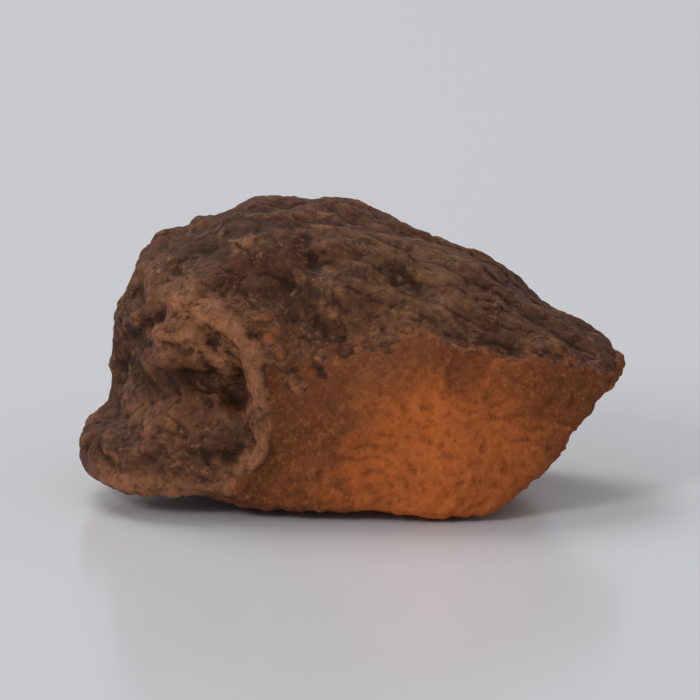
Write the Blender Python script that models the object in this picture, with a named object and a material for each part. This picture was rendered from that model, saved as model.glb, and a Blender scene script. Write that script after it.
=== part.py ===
"""A piece of dried kola nut: one lobe of the seed, broken off at the front, right, back and underside.

The outside of the lobe is a dark, wrinkled dome with a blunt snout at its left end. The breaks are flatter,
lighter and grainy. It is one solid, and it lies on a small flat spot of its underside.
Sizes are millimetres. +X runs along the nut to its thin end, the largest break faces -Y, +Z is up, and the
surface that it lies on is Z = 0.
"""

import bmesh
import bpy
import numpy as np
from mathutils import Euler, Vector, noise

MM = 0.001
NODE_NAME = "kola_nut"

# Rounded lumps that make up the lobe: middle, half sizes along its own axes, and turn in degrees
CROWN = ((-2.2, 1.2, 4.4), (5.5, 5.2, 5.2), (0, 0, 0))
CHEEK = ((-5.0, 0.6, 4.8), (2.8, 3.9, 3.5), (0, 0, 0))
SHOULDER = ((3.8, 0.4, 4.3), (7.1, 4.7, 3.1), (0, 28, 0))
BELLY = ((2.0, -1.0, 1.5), (8.5, 4.9, 5.0), (0, 0, 0))
SNOUT = ((-5.8, -1.1, 1.95), (3.35, 3.7, 1.85), (0, -8, 12))
CHEEK_BLEND = 1.0
SHOULDER_BLEND = 1.6
BELLY_BLEND = 1.2
SNOUT_BLEND = 0.9

# The hollow between the snout and the dome
HOLLOW = ((-5.2, -4.2, 4.35), (1.9, 1.2, 0.55), (0, 6, 0))
HOLLOW_BLEND = 0.7

# Breaks: a point on each and the way it faces
FRONT_BREAK = ((3.9, -5.4, 0.0), (-0.08, -0.99, 0.11))
FRONT_RIGHT_BREAK = ((3.9, -5.4, 0.0), (0.38, -0.91, 0.10))
UNDER_BREAK = ((4.5, -5.0, 0.0), (0.68, 0.0, -0.73))
BACK_BREAK = ((2.5, 4.8, 3.0), (0.35, 0.90, -0.25))
FRONT_FOLD = 1.2
FRONT_EDGE = 0.9
BREAK_EDGE = 0.35
FRONT_BREAK_STARTS_AT = -3.1

# The underside is a shallow arch round the flat spot that the nut lies on. It rises least at the right.
REST_SPOT = (-0.4, -0.2)
REST_HALF_SIZES = (2.4, 1.8)
ARCH_RISE = 0.34
ARCH_LEAN = 0.045
ARCH_LEAST_RISE = 0.12
ARCH_SPREAD = 1.0
REST_CUT = 0.06

# Ridges and grooves of the skin, as seen from the front: height, half width, and points (x, z).
# A groove has a height below nought.
FOLDS = (
    (0.42, 0.42, ((-6.2, 7.0), (-5.2, 7.0), (-4.3, 6.7), (-3.5, 6.0), (-3.1, 5.2), (-2.9, 4.2), (-2.9, 3.2),
                  (-3.0, 2.2), (-3.6, 1.1))),
    (-0.34, 0.32, ((-4.8, 6.1), (-4.1, 5.5), (-3.8, 4.7), (-3.8, 3.9))),
    (0.24, 0.34, ((-6.6, 5.7), (-5.9, 6.1), (-5.2, 6.0))),
    (-0.26, 0.30, ((-6.3, 6.7), (-6.7, 6.1), (-6.9, 5.5))),
    (-0.26, 0.30, ((-7.2, 5.3), (-7.5, 4.7), (-7.6, 4.2))),
    (-0.30, 0.40, ((-6.0, 8.4), (-4.8, 8.5), (-3.6, 8.1))),
    (-0.36, 0.45, ((-3.4, 7.4), (-2.4, 7.1), (-1.4, 6.6), (-0.3, 6.2))),
    (-0.24, 0.35, ((-1.5, 8.9), (-1.2, 8.1), (-1.3, 7.5))),
    (-0.20, 0.35, ((1.2, 8.0), (1.8, 7.8), (2.4, 7.2))),
    (-0.26, 0.42, ((3.0, 6.5), (4.2, 6.2), (5.5, 5.8))),
    (-0.24, 0.75, ((-5.9, 2.5), (-4.5, 2.3))),
    (-0.22, 0.30, ((-8.4, 3.1), (-7.4, 2.8), (-6.9, 2.2), (-7.0, 1.6))),
)
FOLDS_FADE_TOWARDS_BACK = (1.5, 2.5)

# Relief of the skin: swellings, and wrinkles that run from upper left to lower right
SWELLING = 3.4
SWELLING_RISE = 0.26
WRINKLE = (2.8, 1.1, 1.0)
WRINKLE_TURN = (0, 33, 0)
WRINKLE_RISE = 0.40
WRINKLE_OCTAVES = 2
SKIN_FADES_OVER = 0.8
SKIN_FROM = 0.25

# Relief of the breaks, and the share of it that the underside has
GRAIN = 2.2
GRAIN_OCTAVES = 3
GRAIN_RISE = 0.15
UNDERSIDE_SHARE = 0.4

# How fast the relief gets weaker, and how much finer, from one octave to the next
ROUGHNESS = 0.8
GAIN = 2.1

# How finely the form is worked out, and the share of its faces that the solid keeps
BALL_SUBDIVISIONS = 7
SMOOTHING_ROUNDS = 6
KEPT_SHARE = 0.1
WELD = 0.02
AROUND = ((0.2, 0.8, 4.9), (14.0, 11.0, 10.5))
SPINE = (0.8, 4.4)
SPINE_REACH = 0.45
MARCH_STEPS = 60
HALVINGS = 18
LEAST_SLOPE = 1e-9
SHARP_ANGLE = 50

# Linear red, green and blue, then roughness
SKIN_LOOK = ((0.058, 0.027, 0.017), 0.62)
FLESH_LOOK = ((0.245, 0.072, 0.021), 0.75)


def lump(points, centre, half_sizes, turn):
    """Signed distance, near enough, from a turned ellipsoid: negative inside."""
    own = (points - centre) @ turned_axes(turn)
    reach = np.linalg.norm(own / half_sizes, axis=1)
    slope = np.linalg.norm(own / np.square(half_sizes), axis=1)
    return reach * (reach - 1.0) / np.maximum(slope, LEAST_SLOPE)


def turned_axes(turn):
    return np.array(Euler(np.radians(turn)).to_matrix())


def plane(points, on, facing):
    """Signed distance from a plane: positive on the side that it faces."""
    facing = np.array(facing) / np.linalg.norm(facing)
    return (points - on) @ facing


def joined(first, second, blend):
    """The two forms as one, with a fillet of about that size where they meet."""
    share = np.clip(0.5 + 0.5 * (second - first) / blend, 0.0, 1.0)
    return second * (1.0 - share) + first * share - blend * share * (1.0 - share)


def kept_inside(first, second, blend):
    """What lies in both forms, with their common edge rounded by about that size."""
    return -joined(-first, -second, blend)


def smooth_step(value):
    value = np.clip(value, 0.0, 1.0)
    return value * value * (3.0 - 2.0 * value)


def front_breaks(points):
    return kept_inside(plane(points, *FRONT_BREAK), plane(points, *FRONT_RIGHT_BREAK), FRONT_FOLD)


def past_rest_spot(points):
    """0 on the edge of the flat spot and 1 at twice its size."""
    return np.linalg.norm((points[:, :2] - REST_SPOT) / REST_HALF_SIZES, axis=1) - 1.0


def underside(points):
    """How far points lie below the arched underside."""
    rise = np.maximum(ARCH_RISE - ARCH_LEAN * points[:, 0], ARCH_LEAST_RISE)
    arch = rise * smooth_step(past_rest_spot(points) / ARCH_SPREAD) - REST_CUT
    return arch - points[:, 2]


def nut_form(points):
    """Signed distance from the nut without its relief: negative inside."""
    form = joined(lump(points, *CROWN), lump(points, *CHEEK), CHEEK_BLEND)
    form = joined(form, lump(points, *SHOULDER), SHOULDER_BLEND)
    form = joined(form, lump(points, *BELLY), BELLY_BLEND)
    form = kept_inside(form, front_breaks(points), FRONT_EDGE)
    form = joined(form, lump(points, *SNOUT), SNOUT_BLEND)
    form = kept_inside(form, -lump(points, *HOLLOW), HOLLOW_BLEND)
    form = kept_inside(form, plane(points, *UNDER_BREAK), BREAK_EDGE)
    form = kept_inside(form, plane(points, *BACK_BREAK), BREAK_EDGE)
    return kept_inside(form, underside(points), BREAK_EDGE)


def shrink_onto_nut(ball):
    """Moves each point of a ball round the nut inwards, towards the nut's spine, until it meets the nut."""
    centre, half_sizes = AROUND
    starts = ball * half_sizes + centre
    ends = np.empty_like(starts)
    ends[:, 0] = starts[:, 0] * SPINE_REACH
    ends[:, 1:] = SPINE
    ways = ends - starts
    outer = np.zeros(len(ball))
    inner = np.ones(len(ball))
    found = np.zeros(len(ball), bool)
    for share in np.linspace(0.0, 1.0, MARCH_STEPS)[1:]:
        inside = nut_form(starts + ways * share) < 0
        inner[inside & ~found] = share
        found |= inside
        outer[~found] = share
    for _ in range(HALVINGS):
        middle = (outer + inner) / 2
        inside = nut_form(starts + ways * middle[:, None]) < 0
        inner = np.where(inside, middle, inner)
        outer = np.where(inside, outer, middle)
    return starts + ways * ((outer + inner) / 2)[:, None]


def skin_share(points):
    """1 on the seed's own skin, falling to 0 on the breaks and the underside."""
    left_of_front_break = FRONT_BREAK_STARTS_AT - points[:, 0]
    depth = np.minimum.reduce([
        np.maximum(-front_breaks(points), left_of_front_break),
        -plane(points, *UNDER_BREAK),
        -plane(points, *BACK_BREAK),
        -underside(points),
    ])
    return smooth_step(depth / SKIN_FADES_OVER)


def distance_to_line(seen, line):
    nearest = np.full(len(seen), np.inf)
    for start, end in zip(line, line[1:]):
        along = np.subtract(end, start)
        share = np.clip((seen - start) @ along / (along @ along), 0.0, 1.0)
        nearest = np.minimum(nearest, np.linalg.norm(seen - start - share[:, None] * along, axis=1))
    return nearest


def folds(points):
    """Height of the ridges and grooves, on the front alone."""
    seen_from_front = points[:, [0, 2]]
    height = np.zeros(len(points))
    for rise, half_width, line in FOLDS:
        height += rise * np.exp(-np.square(distance_to_line(seen_from_front, line) / half_width))
    full_at, over = FOLDS_FADE_TOWARDS_BACK
    return height * smooth_step((full_at - points[:, 1]) / over)


def relief(points):
    """How far each point rises from the plain form."""
    skin = skin_share(points)
    stretched = (points @ turned_axes(WRINKLE_TURN)) / WRINKLE
    rise = folds(points)
    for i in range(len(points)):
        place = Vector(points[i])
        swelling = noise.noise(place / SWELLING) * SWELLING_RISE
        wrinkle = noise.fractal(Vector(stretched[i]), ROUGHNESS, GAIN, WRINKLE_OCTAVES) * WRINKLE_RISE
        grain = noise.fractal(place / GRAIN, ROUGHNESS, GAIN, GRAIN_OCTAVES) * GRAIN_RISE
        rise[i] += skin[i] * (swelling + wrinkle) + (1.0 - skin[i]) * grain
    above = smooth_step(-underside(points) / SKIN_FADES_OVER)
    below = UNDERSIDE_SHARE * smooth_step(past_rest_spot(points))
    return rise * np.maximum(above, below)


def get_points(mesh):
    flat = np.empty(len(mesh.vertices) * 3, np.float32)
    mesh.vertices.foreach_get("co", flat)
    return flat.reshape(-1, 3).astype(float)


def set_points(mesh, points):
    mesh.vertices.foreach_set("co", points.astype(np.float32).ravel())
    mesh.update()


def vertex_normals(mesh):
    flat = np.empty(len(mesh.vertices) * 3, np.float32)
    mesh.vertices.foreach_get("normal", flat)
    return flat.reshape(-1, 3)


def apply_modifier(nut, kind, **settings):
    modifier = nut.modifiers.new(kind.title(), kind)
    for name, value in settings.items():
        setattr(modifier, name, value)
    bpy.ops.object.modifier_apply(modifier=modifier.name)


def cut_rest_spot(mesh):
    """Cuts the underside off level with the surface, which leaves one flat face to lie on."""
    bm = bmesh.new()
    bm.from_mesh(mesh)
    bmesh.ops.bisect_plane(bm, geom=bm.verts[:] + bm.edges[:] + bm.faces[:], dist=WELD * MM,
                           plane_co=(0, 0, 0), plane_no=(0, 0, -1), use_snap_center=True, clear_outer=True)
    bmesh.ops.remove_doubles(bm, verts=bm.verts, dist=WELD * MM)
    bmesh.ops.holes_fill(bm, edges=[edge for edge in bm.edges if edge.is_boundary])
    bm.to_mesh(mesh)
    bm.free()


def new_material(name, colour, roughness):
    material = bpy.data.materials.new(name)
    material.use_nodes = True
    shader = material.node_tree.nodes["Principled BSDF"]
    shader.inputs["Base Color"].default_value = (*colour, 1.0)
    shader.inputs["Roughness"].default_value = roughness
    shader.inputs["Metallic"].default_value = 0.0
    return material


def paint(mesh):
    """Skin on the seed's own outside, and flesh on every face where it broke."""
    mesh.materials.append(new_material("kola_skin", *SKIN_LOOK))
    mesh.materials.append(new_material("kola_flesh", *FLESH_LOOK))
    middles = np.array([polygon.center for polygon in mesh.polygons]) / MM
    for polygon, skin in zip(mesh.polygons, skin_share(middles)):
        polygon.material_index = 0 if skin > SKIN_FROM else 1


def main():
    for obj in list(bpy.data.objects):
        bpy.data.objects.remove(obj)
    bpy.ops.mesh.primitive_ico_sphere_add(subdivisions=BALL_SUBDIVISIONS, radius=1.0)
    nut = bpy.context.object
    nut.name = NODE_NAME
    mesh = nut.data
    mesh.name = NODE_NAME

    points = shrink_onto_nut(get_points(mesh))
    set_points(mesh, points * MM)
    points += vertex_normals(mesh) * relief(points)[:, None]
    set_points(mesh, points * MM)
    apply_modifier(nut, "SMOOTH", iterations=SMOOTHING_ROUNDS)
    apply_modifier(nut, "DECIMATE", ratio=KEPT_SHARE)
    cut_rest_spot(mesh)
    paint(mesh)

    points = get_points(mesh)
    middle = (points.min(axis=0) + points.max(axis=0)) / 2
    middle[2] = 0.0
    set_points(mesh, points - middle)
    mesh.shade_smooth()
    mesh.set_sharp_from_angle(angle=np.radians(SHARP_ANGLE))

    collection = bpy.data.collections.new("kola_nut_piece")
    bpy.context.scene.collection.children.link(collection)
    for old in nut.users_collection:
        old.objects.unlink(nut)
    collection.objects.link(nut)


main()
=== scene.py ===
import math

import bpy
import numpy as np
from mathutils import Euler, Matrix, Vector, noise


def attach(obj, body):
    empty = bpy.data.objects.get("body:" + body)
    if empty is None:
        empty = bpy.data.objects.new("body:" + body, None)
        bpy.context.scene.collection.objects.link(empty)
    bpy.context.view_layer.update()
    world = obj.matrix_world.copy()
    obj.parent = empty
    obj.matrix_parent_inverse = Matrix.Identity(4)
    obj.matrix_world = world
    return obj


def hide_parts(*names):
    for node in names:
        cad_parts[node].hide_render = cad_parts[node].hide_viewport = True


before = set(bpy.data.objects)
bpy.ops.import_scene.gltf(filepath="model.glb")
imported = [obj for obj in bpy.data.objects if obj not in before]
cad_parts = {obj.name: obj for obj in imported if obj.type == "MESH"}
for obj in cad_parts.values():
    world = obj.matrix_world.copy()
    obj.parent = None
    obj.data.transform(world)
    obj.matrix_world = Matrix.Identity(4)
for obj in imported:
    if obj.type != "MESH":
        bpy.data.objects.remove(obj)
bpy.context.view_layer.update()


# The nut's body: a broken piece of one lobe of a dried kola seed, grown as one piece.
# Its form comes from the solid, evened out into small faces that can carry fine relief.
# It is shaped at a thousand times its size, where 1 unit is 1 mm, and brought back to size at the end.

MM = 0.001
WELD_DISTANCE = 0.001
FACE_SIZE = 0.092
SMOOTHING_SHARE = 0.5
SMOOTHING_ROUNDS = 6

nut = bpy.data.objects.new("dried_kola_nut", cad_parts["kola_nut"].data.copy())
bpy.context.scene.collection.objects.link(nut)
bpy.ops.object.select_all(action="DESELECT")
nut.select_set(True)
bpy.context.view_layer.objects.active = nut
nut.data.transform(Matrix.Scale(1 / MM, 4))

bpy.ops.object.mode_set(mode="EDIT")
bpy.ops.mesh.select_all(action="SELECT")
bpy.ops.mesh.remove_doubles(threshold=WELD_DISTANCE)
bpy.ops.object.mode_set(mode="OBJECT")

even_faces = nut.modifiers.new("even_faces", "REMESH")
even_faces.mode = "VOXEL"
even_faces.voxel_size = FACE_SIZE
bpy.ops.object.modifier_apply(modifier="even_faces")
evened = nut.modifiers.new("evened", "SMOOTH")
evened.factor = SMOOTHING_SHARE
evened.iterations = SMOOTHING_ROUNDS
bpy.ops.object.modifier_apply(modifier="evened")


# Where the seed broke: the front, right and back breaks and the underside show bare flesh.
# The rest is the seed's own skin. The edge between the two wanders, as torn skin does.
# Places are millimetres from the point that the form is laid out from, 0.68 mm in front of the middle.

LAYOUT_POINT = np.array((0.0, -0.68, 0.0))
BREAKS = (
    ((4.5, -5.0, 0.0), (0.68, 0.0, -0.73)),
    ((2.5, 4.8, 3.0), (0.35, 0.90, -0.25)),
)
FRONT_BREAKS = (
    ((3.9, -5.4, 0.0), (-0.08, -0.99, 0.11)),
    ((3.9, -5.4, 0.0), (0.38, -0.91, 0.10)),
)
FRONT_BREAK_STARTS_AT = -2.25
FRONT_BREAK_CORNER = ((-2.9, 0.0, 1.6), (-0.77, 0.0, 0.64))
UNDERSIDE_HEIGHT = 0.35
SKIN_STARTS_AT = 0.36
TORN_EDGE_WIDTH = 0.22
TORN_EDGE_WANDER = 0.30
TORN_EDGE_SIZE = 1.1
EDGE_ROUNDING = 0.4
EDGE_WIDTH = 0.9
OLDER_BREAK_AND_SHADE_FADE = 1.2
REST_HEIGHT = 0.02
FACING_DOWN = -0.9
NOISE_FALLOFF = 1.0
OCTAVE_STEP = 2.1


def read(kind):
    flat = np.empty(len(nut.data.vertices) * 3, np.float32)
    nut.data.vertices.foreach_get(kind, flat)
    return flat.reshape(-1, 3).astype(float)


def smooth_step(value):
    value = np.clip(value, 0.0, 1.0)
    return value * value * (3.0 - 2.0 * value)


def noise_at(points, size, octaves, seed):
    """Soft noise of about -0.5 to 0.5, whose largest swellings are that many millimetres long."""
    places = points / size + seed
    return np.array([noise.fractal(Vector(place), NOISE_FALLOFF, OCTAVE_STEP, octaves) for place in places])


def depth_behind(points, on, facing):
    facing = np.array(facing) / np.linalg.norm(facing)
    return (on - points) @ facing


surface = read("co") - LAYOUT_POINT
left_break_depth, right_break_depth = (depth_behind(surface, *each) for each in FRONT_BREAKS)
edge_rounding = EDGE_ROUNDING * np.exp(-np.square((left_break_depth - right_break_depth) / EDGE_WIDTH))
front_depth = np.minimum(left_break_depth, right_break_depth) - edge_rounding
# The right break is coloured older and darker than the front break, partly as painted shade.
older_break_and_shade = smooth_step((left_break_depth - right_break_depth) / OLDER_BREAK_AND_SHADE_FADE + 0.5)
left_of_front = np.minimum(
    FRONT_BREAK_STARTS_AT - surface[:, 0],
    -depth_behind(surface, *FRONT_BREAK_CORNER),
)
skin_depth = np.minimum.reduce(
    [depth_behind(surface, *each) for each in BREAKS]
    + [np.maximum(front_depth, left_of_front), surface[:, 2] - UNDERSIDE_HEIGHT]
)
skin_depth += TORN_EDGE_WANDER * noise_at(surface, TORN_EDGE_SIZE, octaves=3, seed=3.1)
flesh = 1.0 - smooth_step((skin_depth - SKIN_STARTS_AT) / TORN_EDGE_WIDTH + 0.5)
resting = (surface[:, 2] < REST_HEIGHT) & (read("normal")[:, 2] < FACING_DOWN)


# The skin's relief, as it shrank in drying: folds that follow the photograph, wrinkles that run from the
# upper left to the lower right, broad low swellings, and dry pimples.
# A fold is its rise, its half width, and its points seen from the front. A groove's rise is below nought.

FOLDS = (
    (0.12, 0.32, ((-6.9, 6.4), (-6.2, 6.8), (-5.4, 6.9), (-4.6, 6.7), (-3.8, 6.2),
                  (-3.2, 5.5), (-3.1, 4.6), (-3.0, 3.8), (-2.9, 3.0))),
    (0.10, 0.30, ((-3.0, 3.6), (-2.8, 2.7), (-3.2, 2.0), (-3.8, 1.4), (-4.9, 1.1))),
    (0.11, 0.26, ((-6.8, 5.3), (-6.1, 5.8), (-5.3, 5.8), (-4.4, 5.5))),
    (0.04, 0.35, ((-8.0, 2.9), (-6.9, 3.2), (-5.8, 3.3), (-4.6, 3.1))),
    (0.10, 0.30, ((-8.8, 1.3), (-7.6, 0.9), (-6.0, 0.9), (-4.2, 1.0))),
    (-0.13, 0.18, ((-6.0, 6.5), (-6.6, 6.3), (-7.0, 5.7), (-7.3, 5.0))),
    (-0.09, 0.30, ((-6.2, 4.4), (-5.4, 4.5), (-4.7, 4.5), (-4.1, 4.3))),
    (0.11, 0.30, ((-5.6, 6.3), (-4.8, 6.0), (-4.3, 5.5), (-4.0, 4.8), (-3.8, 4.2))),
    (-0.09, 0.26, ((-7.4, 2.2), (-6.4, 2.2), (-5.2, 2.3), (-4.0, 2.2), (-3.4, 2.8), (-3.4, 3.6))),
    (-0.08, 0.16, ((-7.4, 0.6), (-6.2, 0.55), (-5.0, 0.6))),
    (-0.10, 0.15, ((-7.3, 4.9), (-7.5, 4.5), (-7.6, 4.0))),
    (-0.06, 0.20, ((-6.6, 8.4), (-5.6, 8.7), (-4.8, 8.6))),
    (0.03, 0.30, ((-5.6, 7.5), (-4.6, 7.4), (-3.4, 6.9), (-2.2, 6.4))),
    (-0.11, 0.32, ((-3.9, 8.1), (-2.7, 7.9), (-1.4, 7.4), (-0.1, 6.9), (1.2, 6.5))),
    (-0.07, 0.18, ((-1.5, 8.9), (-1.2, 8.1), (-1.3, 7.5))),
    (-0.07, 0.18, ((1.2, 8.0), (1.8, 7.8), (2.4, 7.2))),
    (-0.05, 0.20, ((3.0, 6.5), (4.2, 6.2), (5.5, 5.8))),
)
COLOUR_WIDTH = 0.64
FULL_COLOUR_RISE = 0.13
FOLD_WANDER = 0.15
FOLD_WANDER_SIZE = 0.9
FOLD_UNEVENNESS = 1.3
FOLD_END_FADE = 4.0
FOLDS_FADE_TOWARDS_BACK = (1.5, 2.5)
WRINKLE_TURN = (0, 33, 0)
WRINKLES = (
    (np.array((2.4, 1.10, 1.0)), 0.050, 0.10),
    (np.array((1.2, 0.60, 0.6)), 0.030, 0.10),
)
PIMPLE_SIZE = 0.34
PIMPLE_RISE = 0.045
SWELLING_SIZE = 1.7
SWELLING_RISE = 0.07


def nearness(seen, line, half_width):
    """1 on a line, falling to 0 beside it and towards its two ends."""
    near = np.zeros(len(seen))
    for number, (start, end) in enumerate(zip(line, line[1:])):
        along = np.subtract(end, start)
        share = np.clip((seen - start) @ along / (along @ along), 0.0, 1.0)
        distance = np.linalg.norm(seen - start - share[:, None] * along, axis=1)
        passed = (number + share) / (len(line) - 1)
        fade = smooth_step(FOLD_END_FADE * np.minimum(passed, 1.0 - passed))
        near = np.maximum(near, fade * np.exp(-np.square(distance / half_width)))
    return near


seen_from_front = surface[:, [0, 2]].copy()
seen_from_front[:, 0] += FOLD_WANDER * noise_at(surface, FOLD_WANDER_SIZE, octaves=2, seed=5.0)
seen_from_front[:, 1] += FOLD_WANDER * noise_at(surface, FOLD_WANDER_SIZE, octaves=2, seed=11.0)
fold_rise = np.zeros(len(surface))
ridge = np.zeros(len(surface))
# Where the grooves are, for painted shade in them.
groove_shade = np.zeros(len(surface))
uneven_fold = 1.0 + FOLD_UNEVENNESS * noise_at(surface, FOLD_WANDER_SIZE, octaves=3, seed=27.0)
for rise, half_width, line in FOLDS:
    fold_rise += rise * nearness(seen_from_front, line, half_width) * uneven_fold
    coloured = nearness(seen_from_front, line, COLOUR_WIDTH) * abs(rise) / FULL_COLOUR_RISE
    kind = ridge if rise > 0.0 else groove_shade
    np.maximum(kind, coloured, out=kind)
full_at, over = FOLDS_FADE_TOWARDS_BACK
in_front = smooth_step((full_at - surface[:, 1]) / over)
fold_rise *= in_front

along_wrinkles = surface @ np.array(Euler(np.radians(WRINKLE_TURN)).to_matrix())
skin_rise = SWELLING_RISE * noise_at(surface, SWELLING_SIZE, octaves=2, seed=2.0)
for size, depth, width in WRINKLES:
    crossing = noise_at(along_wrinkles, size, octaves=2, seed=7.0)
    skin_rise -= depth * np.exp(-np.square(crossing / width))
skin_rise += PIMPLE_RISE * noise_at(surface, PIMPLE_SIZE, octaves=3, seed=4.0)


# The flesh's relief: each break runs in low, stepped flakes with a fine, dry grain, and here and there
# a grain has come away and left a shallow pit. The relief rises and sinks evenly about the solid's own
# surface, so that the breaks keep their place, and the spot that the nut rests on stays flat.

FLAKE_SIZE = 3.4
FLAKE_STEPS = 4.0
FLAKE_RISE = 0.07
FLAKE_EDGE = 0.24
GRAIN_SIZE = 0.42
GRAIN_RISE = 0.08
PIT_SIZE = 0.6
PITS_FROM = 0.34
PIT_WIDTH = 0.16
PIT_DEPTH = 0.04
MOSTLY_FLESH = 0.5

terrace = noise_at(surface, FLAKE_SIZE, octaves=2, seed=9.0) * FLAKE_STEPS
step = np.floor(terrace)
flesh_rise = FLAKE_RISE * (step + smooth_step((terrace - step) / FLAKE_EDGE))
flesh_rise += GRAIN_RISE * noise_at(surface, GRAIN_SIZE, octaves=4, seed=13.0)
pits = noise_at(surface, PIT_SIZE, octaves=2, seed=17.0)
flesh_rise -= PIT_DEPTH * smooth_step((pits - PITS_FROM) / PIT_WIDTH)
flesh_rise -= flesh_rise[flesh > MOSTLY_FLESH].mean()

rise = fold_rise * (1.0 - flesh) + skin_rise * (1.0 - flesh) + flesh_rise * flesh
points = read("co") + read("normal") * rise[:, None]
points[resting] = read("co")[resting]
points[resting, 2] = 0.0
points[:, 2] = np.maximum(points[:, 2], 0.0)
nut.data.vertices.foreach_set("co", points.astype(np.float32).ravel())
nut.data.update()


# What the colours follow: how deep each point lies in a crease or hollow, over a short and a long reach in
# rounds of evening out, which gives painted shade in creases and hollows and a painted highlight, partly
# dust, on crests; and how near it is to places that are freshly broken and partly a painted pool of light,
# stained and partly in painted shade, dusty and greener, and places given painted shade alone. All of it is
# kept on the mesh, so that the colours stay on the surface.

SHORT_REACH = 6
LONG_REACH = 70
CREASE_DEPTH = 0.035
HOLLOW_DEPTH = 0.16
TORN_EDGE_REACH = 0.35
# The flesh is brightest orange near these places: freshly broken, and partly a painted pool of light.
FRESH_AND_LIT_PLACES = ((2.9, -5.0, 1.7), (3.0, 4.6, 3.0), (1.0, 0.0, 0.0))
FRESH_AND_LIT_REACH = 5.7
UNEVEN_WANDER = 0.25
UNEVEN_PATCH = 2.8
# Stains on the flesh near these places, partly painted shade.
STAIN_AND_SHADE_PLACES = ((-2.2, -4.8, 4.6), (8.8, -2.0, 4.0))
STAIN_AND_SHADE_REACH = 4.4
DUSTY_PLACES = ((1.0, -4.2, 6.2),)
DUSTY_REACH = 3.0
GREENER_PLACES = ((1.9, -1.8, 7.9),)
GREENER_REACH = 4.8
# Painted shade on the skin near these places.
PAINTED_SHADE_PLACES = (
    (-3.4, -0.4, 9.2), (-4.8, -0.9, 8.4), (-2.4, -2.8, 7.2),
    (-7.4, -0.6, 5.4), (-7.5, -1.4, 4.2), (-6.9, -2.6, 3.3), (-3.5, -4.6, 2.6),
)
PAINTED_SHADE_REACH = 1.7

ends = np.empty(len(nut.data.edges) * 2, np.int32)
nut.data.edges.foreach_get("vertices", ends)
neighbours = np.bincount(ends, minlength=len(points))[:, None]
firsts, seconds = ends.reshape(-1, 2).T


def evened_out(values, rounds):
    for _ in range(rounds):
        totals = [
            np.bincount(firsts, values[seconds, axis], len(values))
            + np.bincount(seconds, values[firsts, axis], len(values))
            for axis in range(values.shape[1])
        ]
        values = np.column_stack(totals) / neighbours
    return values


def closeness(places, reach):
    """1 at each of the places, 0 at that many millimetres from the nearest, and less beyond."""
    distances = [np.linalg.norm(surface - np.array(place), axis=1) for place in places]
    return 1.0 - np.min(distances, axis=0) / reach


def keep_on_mesh(name, values):
    nut.data.attributes.new(name, "FLOAT", "POINT").data.foreach_set("value", values.astype(np.float32))


uneven = UNEVEN_WANDER * noise_at(surface, UNEVEN_PATCH, octaves=3, seed=21.0)
normals = evened_out(read("normal"), SHORT_REACH)
short_depth = ((evened_out(points, SHORT_REACH) - points) * normals).sum(axis=1)
long_depth = ((evened_out(points, LONG_REACH) - points) * evened_out(normals, LONG_REACH)).sum(axis=1)
keep_on_mesh("flesh", flesh)
keep_on_mesh("older_break_and_shade", older_break_and_shade)
keep_on_mesh("fresh_and_lit", closeness(FRESH_AND_LIT_PLACES, FRESH_AND_LIT_REACH) - uneven)
keep_on_mesh("ridge", ridge * in_front)
keep_on_mesh("groove_shade", groove_shade * in_front)
keep_on_mesh("stain_and_shade", closeness(STAIN_AND_SHADE_PLACES, STAIN_AND_SHADE_REACH))
keep_on_mesh("dusty", closeness(DUSTY_PLACES, DUSTY_REACH))
keep_on_mesh("greener", closeness(GREENER_PLACES, GREENER_REACH))
keep_on_mesh("painted_shade", closeness(PAINTED_SHADE_PLACES, PAINTED_SHADE_REACH) - uneven)
# Painted shade in the creases and hollows, and a highlight on the crests that is partly painted.
keep_on_mesh("crease_shade", smooth_step(short_depth / CREASE_DEPTH))
keep_on_mesh("crest", smooth_step(-short_depth / CREASE_DEPTH))
keep_on_mesh("hollow_shade", smooth_step(long_depth / HOLLOW_DEPTH))
keep_on_mesh("torn_edge", np.exp(-np.square((skin_depth - SKIN_STARTS_AT) / TORN_EDGE_REACH)))


# The dried nut's colours, as linear red, green and blue. The skin is dark brown, mottled olive and tan,
# with painted shade that makes it nearly black in its creases and darker in its hollows, grooves and shaded
# places, and dusty on its crests, partly as a painted highlight. The flesh is cinnamon orange, brightest
# where freshly broken and partly under a painted pool of light, darker where stained and partly in painted
# shade, and redder in its pits with painted shade. Each starts as one colour and gets the others in coats,
# which lie where their patterns are.

SKIN_BROWN = (0.099, 0.035, 0.017, 1.0)
SKIN_OLIVE = (0.212, 0.100, 0.046, 1.0)
# Painted shade, for the skin's shaded places.
SKIN_PAINTED_SHADE = (0.056, 0.023, 0.011, 1.0)
SKIN_ROSY = (0.165, 0.065, 0.040, 1.0)
SKIN_DARK = (0.060, 0.023, 0.012, 1.0)
# Dark hairlines, and painted shade in the creases.
SKIN_HAIRLINE_AND_CREASE_SHADE = (0.020, 0.008, 0.005, 1.0)
# Dust in specks, and dust on the crests that is partly a painted highlight.
SKIN_DUST_AND_HIGHLIGHT = (0.320, 0.140, 0.068, 1.0)
SKIN_WORN = (0.500, 0.203, 0.096, 1.0)
SKIN_RIM = (0.340, 0.106, 0.036, 1.0)
FLESH_ORANGE = (0.600, 0.146, 0.031, 1.0)
FLESH_CINNAMON = (0.395, 0.101, 0.028, 1.0)
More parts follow.
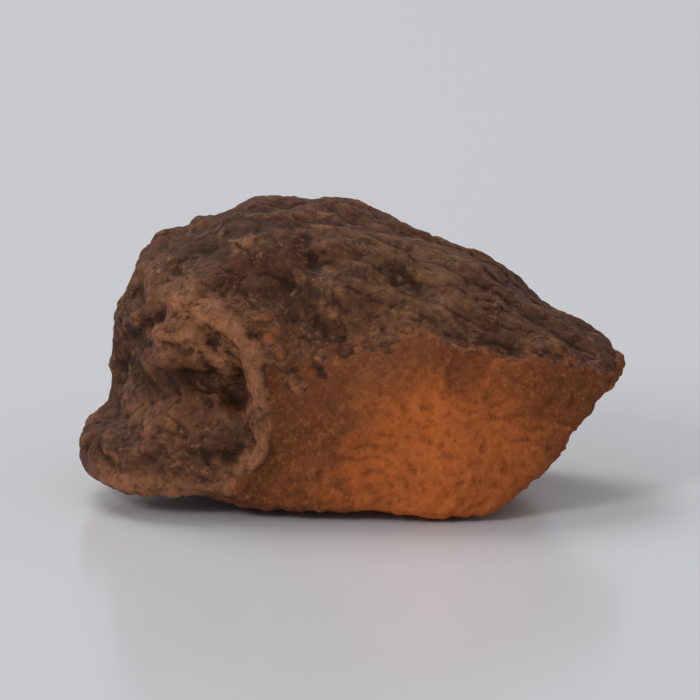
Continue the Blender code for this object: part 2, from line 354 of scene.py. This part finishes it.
# Stained flesh, and painted shade on the flesh away from the painted pool of light.
FLESH_STAINED_AND_SHADED = (0.165, 0.053, 0.021, 1.0)
FLESH_DUSTY = (0.270, 0.092, 0.040, 1.0)
FLESH_RED = (0.130, 0.030, 0.010, 1.0)
FLESH_PALE = (0.700, 0.240, 0.070, 1.0)
SHIFT = (5.0, 3.0, 7.0)
NOISE_MIDDLE = 0.5
HAIRLINE_SQUEEZE = (0.4, 1.0, 1.0)
HAIRLINE_WIDTH = 0.03
GREENER_FULL_AT = 0.9
PAINTED_SHADE_FULL_AT = 0.7
STAIN_AND_SHADE_FULL_AT = 0.75
DUSTY_FULL_AT = 0.9
FRESH_AND_LIT_MOTTLING = 1.3
CINNAMON_RANGE = (0.70, 1.25)
ORANGE_RANGE = (0.95, 1.42)

material = bpy.data.materials.new("dried_kola_nut")
material.use_nodes = True
tree = material.node_tree
shader = tree.nodes["Principled BSDF"]


def add(kind, inputs, **settings):
    """A node with its settings and inputs. An input is a plain value or another node's output."""
    made = tree.nodes.new(kind)
    for name, value in settings.items():
        setattr(made, name, value)
    for name, value in inputs.items():
        if isinstance(value, bpy.types.NodeSocket):
            tree.links.new(value, made.inputs[name])
        else:
            made.inputs[name].default_value = value
    return made


def worked_out(operation, *values):
    """What the named operation makes of patterns and plain numbers."""
    return add("ShaderNodeMath", dict(enumerate(values)), operation=operation).outputs["Value"]


def attribute(name):
    return add("ShaderNodeAttribute", {}, attribute_name=name).outputs["Fac"]


millimetres = add("ShaderNodeMapping", {
    "Vector": tree.nodes.new("ShaderNodeTexCoord").outputs["Object"],
    "Scale": (1 / MM, 1 / MM, 1 / MM),
}).outputs["Vector"]
shifted = add("ShaderNodeMapping", {"Vector": millimetres, "Location": SHIFT}).outputs["Vector"]
drawn_out = add("ShaderNodeMapping", {
    "Vector": millimetres,
    "Rotation": tuple(math.radians(turn) for turn in WRINKLE_TURN),
    "Scale": HAIRLINE_SQUEEZE,
}).outputs["Vector"]


def cloud(size, detail=3.0, roughness=0.55, distortion=0.0, place=millimetres):
    """Noise of about 0.25 to 0.75, with patches of that many millimetres."""
    return add("ShaderNodeTexNoise", {
        "Vector": place,
        "Scale": 1.0 / size,
        "Detail": detail,
        "Roughness": roughness,
        "Distortion": distortion,
    }).outputs["Fac"]


def between(value, low, high):
    """0 below low, 1 above high."""
    return add("ShaderNodeMapRange", {
        "Value": value,
        "From Min": low,
        "From Max": high,
    }, interpolation_type="SMOOTHSTEP").outputs["Result"]


def patches(size, low, high, **cloudiness):
    """Patches of that many millimetres: 1 where their noise is above high, 0 where it is below low."""
    return between(cloud(size, **cloudiness), low, high)


def thin_lines(value, width):
    """1 where the value passes its middle, so noise gives thin, winding lines."""
    distance = worked_out("ABSOLUTE", worked_out("SUBTRACT", value, NOISE_MIDDLE))
    return worked_out("SUBTRACT", 1.0, between(distance, 0.0, width))


def painted(under, over, share):
    """One colour over another, by its share of 0 to 1. The mix node's colour sockets are 6, 7 and 2."""
    return add("ShaderNodeMix", {0: share, 6: under, 7: over}, data_type="RGBA").outputs[2]


def coated(colour, coats):
    """A colour under its coats, first to last. A coat is its colour, its share and its patterns."""
    for over, share, *patterns in coats:
        for pattern in patterns:
            share = worked_out("MULTIPLY", pattern, share)
        colour = painted(colour, over, share)
    return colour


greener = between(attribute("greener"), 0.0, GREENER_FULL_AT)
painted_shade = between(attribute("painted_shade"), 0.0, PAINTED_SHADE_FULL_AT)
stain_and_shade = between(attribute("stain_and_shade"), 0.0, STAIN_AND_SHADE_FULL_AT)
dusty = between(attribute("dusty"), 0.0, DUSTY_FULL_AT)
torn_edge = attribute("torn_edge")
specks = patches(0.17, 0.56, 0.68, detail=2.0)
hairlines = worked_out(
    "MULTIPLY",
    thin_lines(cloud(0.75, roughness=0.5, distortion=0.4, place=drawn_out), HAIRLINE_WIDTH),
    patches(1.3, 0.42, 0.62, detail=2.0),
)
freshness_and_light = worked_out(
    "MULTIPLY_ADD",
    cloud(1.3, detail=6.0, roughness=0.68, distortion=0.6),
    FRESH_AND_LIT_MOTTLING,
    attribute("fresh_and_lit"),
)

skin_colour = coated(SKIN_BROWN, (
    (SKIN_OLIVE, 0.3, patches(3.2, 0.46, 0.66, detail=4.0, roughness=0.6)),
    (SKIN_ROSY, 1.0, patches(0.8, 0.48, 0.72, detail=5.0, roughness=0.65, distortion=0.2, place=shifted)),
    (SKIN_OLIVE, 1.0, greener, patches(1.2, 0.35, 0.62, detail=6.0, roughness=0.7, distortion=0.4)),
    # Painted shade at the shaded places.
    (SKIN_PAINTED_SHADE, 0.75, painted_shade),
    (SKIN_WORN, 1.0, attribute("ridge"), patches(0.45, 0.24, 0.60, detail=5.0, roughness=0.7)),
    (SKIN_DARK, 0.8, patches(0.9, 0.50, 0.66, detail=6.0, roughness=0.7, distortion=0.6)),
    (SKIN_DARK, 0.55, patches(0.28, 0.50, 0.66, detail=5.0, roughness=0.7, distortion=0.3, place=shifted)),
    # Painted shade in the hollows and grooves.
    (SKIN_DARK, 0.6, attribute("hollow_shade")),
    (SKIN_DARK, 0.4, attribute("groove_shade")),
    (SKIN_DUST_AND_HIGHLIGHT, 1.0, specks, patches(1.2, 0.35, 0.75)),
    # Dust on the crests, partly a painted highlight.
    (SKIN_DUST_AND_HIGHLIGHT, 1.0, attribute("crest"), patches(0.7, 0.42, 0.75, detail=5.0, roughness=0.65)),
    (SKIN_WORN, 1.0, torn_edge, patches(0.6, 0.50, 0.80, detail=5.0, roughness=0.65, distortion=0.3)),
    (SKIN_RIM, 1.0, torn_edge, patches(0.5, 0.45, 0.70, detail=4.0, roughness=0.6, place=shifted)),
    (SKIN_HAIRLINE_AND_CREASE_SHADE, 0.35, hairlines),
    # Painted shade in the creases.
    (SKIN_HAIRLINE_AND_CREASE_SHADE, 0.65, attribute("crease_shade")),
))
flesh_colour = coated(FLESH_STAINED_AND_SHADED, (
    # Brightest orange where freshly broken, partly a painted pool of light.
    (FLESH_CINNAMON, 1.0, between(freshness_and_light, *CINNAMON_RANGE)),
    (FLESH_ORANGE, 1.0, between(freshness_and_light, *ORANGE_RANGE)),
    # The right break older and darker, partly painted shade.
    (FLESH_CINNAMON, 0.5, attribute("older_break_and_shade")),
    (FLESH_STAINED_AND_SHADED, 0.12, attribute("older_break_and_shade")),
    # Stains, partly painted shade.
    (FLESH_STAINED_AND_SHADED, 0.85, stain_and_shade),
    (FLESH_DUSTY, 1.0, dusty),
    (FLESH_PALE, 0.6, patches(0.16, 0.45, 0.80, detail=5.0, roughness=0.7)),
    (FLESH_RED, 0.7, patches(0.20, 0.50, 0.80, detail=5.0, roughness=0.7, place=shifted)),
    # Pale crumbs on the crests, partly a painted highlight.
    (FLESH_PALE, 1.0, attribute("crest"), patches(0.35, 0.5, 0.9)),
    # Painted shade in the flesh's pits.
    (FLESH_RED, 0.45, attribute("crease_shade")),
    (FLESH_STAINED_AND_SHADED, 0.5, torn_edge),
))


# The nut's finish: skin and flesh meet at a frayed edge. The skin has a dull, uneven sheen with hairlines
# pressed into it, and the flesh is rough. Both have a fine, dry grain.

GLOSS = 0.16
SKIN_ROUGHNESS = (0.44, 0.72)
FLESH_ROUGHNESS = 0.9
NOISE_SPREAD = (0.3, 0.7)
EDGE_FRAYING = 1.2
FRAYED_EDGE = (0.40, 0.60)
GRAIN_BUMP = {"Strength": 1.0, "Distance": 0.00007}
HAIRLINE_BUMP = {"Strength": 0.8, "Distance": 0.00004}

shader.inputs["Metallic"].default_value = 0.0
shader.inputs["Specular IOR Level"].default_value = GLOSS

fraying = worked_out("SUBTRACT", cloud(0.25, detail=5.0, roughness=0.7), NOISE_MIDDLE)
frayed = worked_out("MULTIPLY_ADD", fraying, EDGE_FRAYING, attribute("flesh"))
flesh_share = between(frayed, *FRAYED_EDGE)
tree.links.new(painted(skin_colour, flesh_colour, flesh_share), shader.inputs["Base Color"])

skin_roughness = add("ShaderNodeMapRange", {
    "Value": cloud(0.5, detail=4.0),
    "From Min": NOISE_SPREAD[0],
    "From Max": NOISE_SPREAD[1],
    "To Min": SKIN_ROUGHNESS[0],
    "To Max": SKIN_ROUGHNESS[1],
}).outputs["Result"]
roughness = add("ShaderNodeMix", {0: flesh_share, 2: skin_roughness, 3: FLESH_ROUGHNESS}).outputs[0]
tree.links.new(roughness, shader.inputs["Roughness"])

dry_grain = cloud(0.16, detail=6.0, roughness=0.7)
grained = add("ShaderNodeBump", {"Height": dry_grain, **GRAIN_BUMP}).outputs["Normal"]
skin_share = worked_out("SUBTRACT", 1.0, flesh_share)
pressed_in = worked_out("MULTIPLY", hairlines, skin_share)
creased = add("ShaderNodeBump", {"Height": pressed_in, "Normal": grained, **HAIRLINE_BUMP}, invert=True)
tree.links.new(creased.outputs["Normal"], shader.inputs["Normal"])

nut.data.materials.clear()
nut.data.materials.append(material)
bpy.ops.object.shade_smooth()
nut.data.transform(Matrix.Scale(MM, 4))
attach(nut, "root")
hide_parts("kola_nut")


# The surface that the nut lies on: a plain sheet, pale and a little cool, with a soft gloss.
# It is one flat plane, far wider than the view, and isn't part of the nut.

FLOOR_SIZE = 2.0
FLOOR_COLOUR = (0.72, 0.735, 0.775, 1.0)
FLOOR_ROUGHNESS = 0.2
FLOOR_GLOSS = 0.5

bpy.ops.object.select_all(action="DESELECT")
bpy.ops.mesh.primitive_plane_add(size=FLOOR_SIZE)
floor = bpy.context.object
floor.name = "floor"
floor_material = bpy.data.materials.new("white_sheet")
floor_material.use_nodes = True
floor_shader = floor_material.node_tree.nodes["Principled BSDF"]
floor_shader.inputs["Base Color"].default_value = FLOOR_COLOUR
floor_shader.inputs["Roughness"].default_value = FLOOR_ROUGHNESS
floor_shader.inputs["Specular IOR Level"].default_value = FLOOR_GLOSS
floor.data.materials.append(floor_material)


# Light: a wide soft box high behind the nut on the left, a smaller one in front on the left, and an even,
# nearly white surround. A light is its name, place, size, power and tint.

LIGHTS = (
    ("key", (-0.12, 0.18, 0.32), 0.20, 0.60, (1.0, 0.98, 0.95)),
    ("front", (-0.26, -0.28, 0.24), 0.12, 0.62, (1.0, 0.97, 0.93)),
)
AIM = Vector((0.0, 0.0, 0.004))
SURROUND_TINT = (0.97, 0.98, 1.0, 1.0)
SURROUND_STRENGTH = 0.42

for name, place, size, power, tint in LIGHTS:
    light = bpy.data.lights.new(name, "AREA")
    light.size = size
    light.energy = power
    light.color = tint
    lamp = bpy.data.objects.new(name, light)
    lamp.location = place
    lamp.rotation_euler = (Vector(place) - AIM).to_track_quat("Z", "Y").to_euler()
    bpy.context.scene.collection.objects.link(lamp)

world = bpy.data.worlds.new("white_surround")
world.use_nodes = True
background = world.node_tree.nodes["Background"]
background.inputs["Color"].default_value = SURROUND_TINT
background.inputs["Strength"].default_value = SURROUND_STRENGTH
bpy.context.scene.world = world
bpy.context.scene.view_settings.view_transform = "Standard"


# The camera looks along +Y from 13 degrees above the surface, as in the photograph, through a long lens.
# The frame is a little wider than the nut.

ELEVATION = math.radians(13.0)
DISTANCE = 0.30
SENSOR_WIDTH = 36.0
FRAME_WIDTH = 0.0235
NEAREST = 0.01
LOOK_AT = Vector((0.0, 0.0, 0.0046))

back = Vector((0.0, -math.cos(ELEVATION), math.sin(ELEVATION)))
camera_data = bpy.data.cameras.new("camera")
camera_data.sensor_width = SENSOR_WIDTH
camera_data.lens = SENSOR_WIDTH * DISTANCE / FRAME_WIDTH
camera_data.clip_start = NEAREST
camera = bpy.data.objects.new("camera", camera_data)
camera.location = LOOK_AT + back * DISTANCE
camera.rotation_euler = back.to_track_quat("Z", "Y").to_euler()
bpy.context.scene.collection.objects.link(camera)
bpy.context.scene.camera = camera
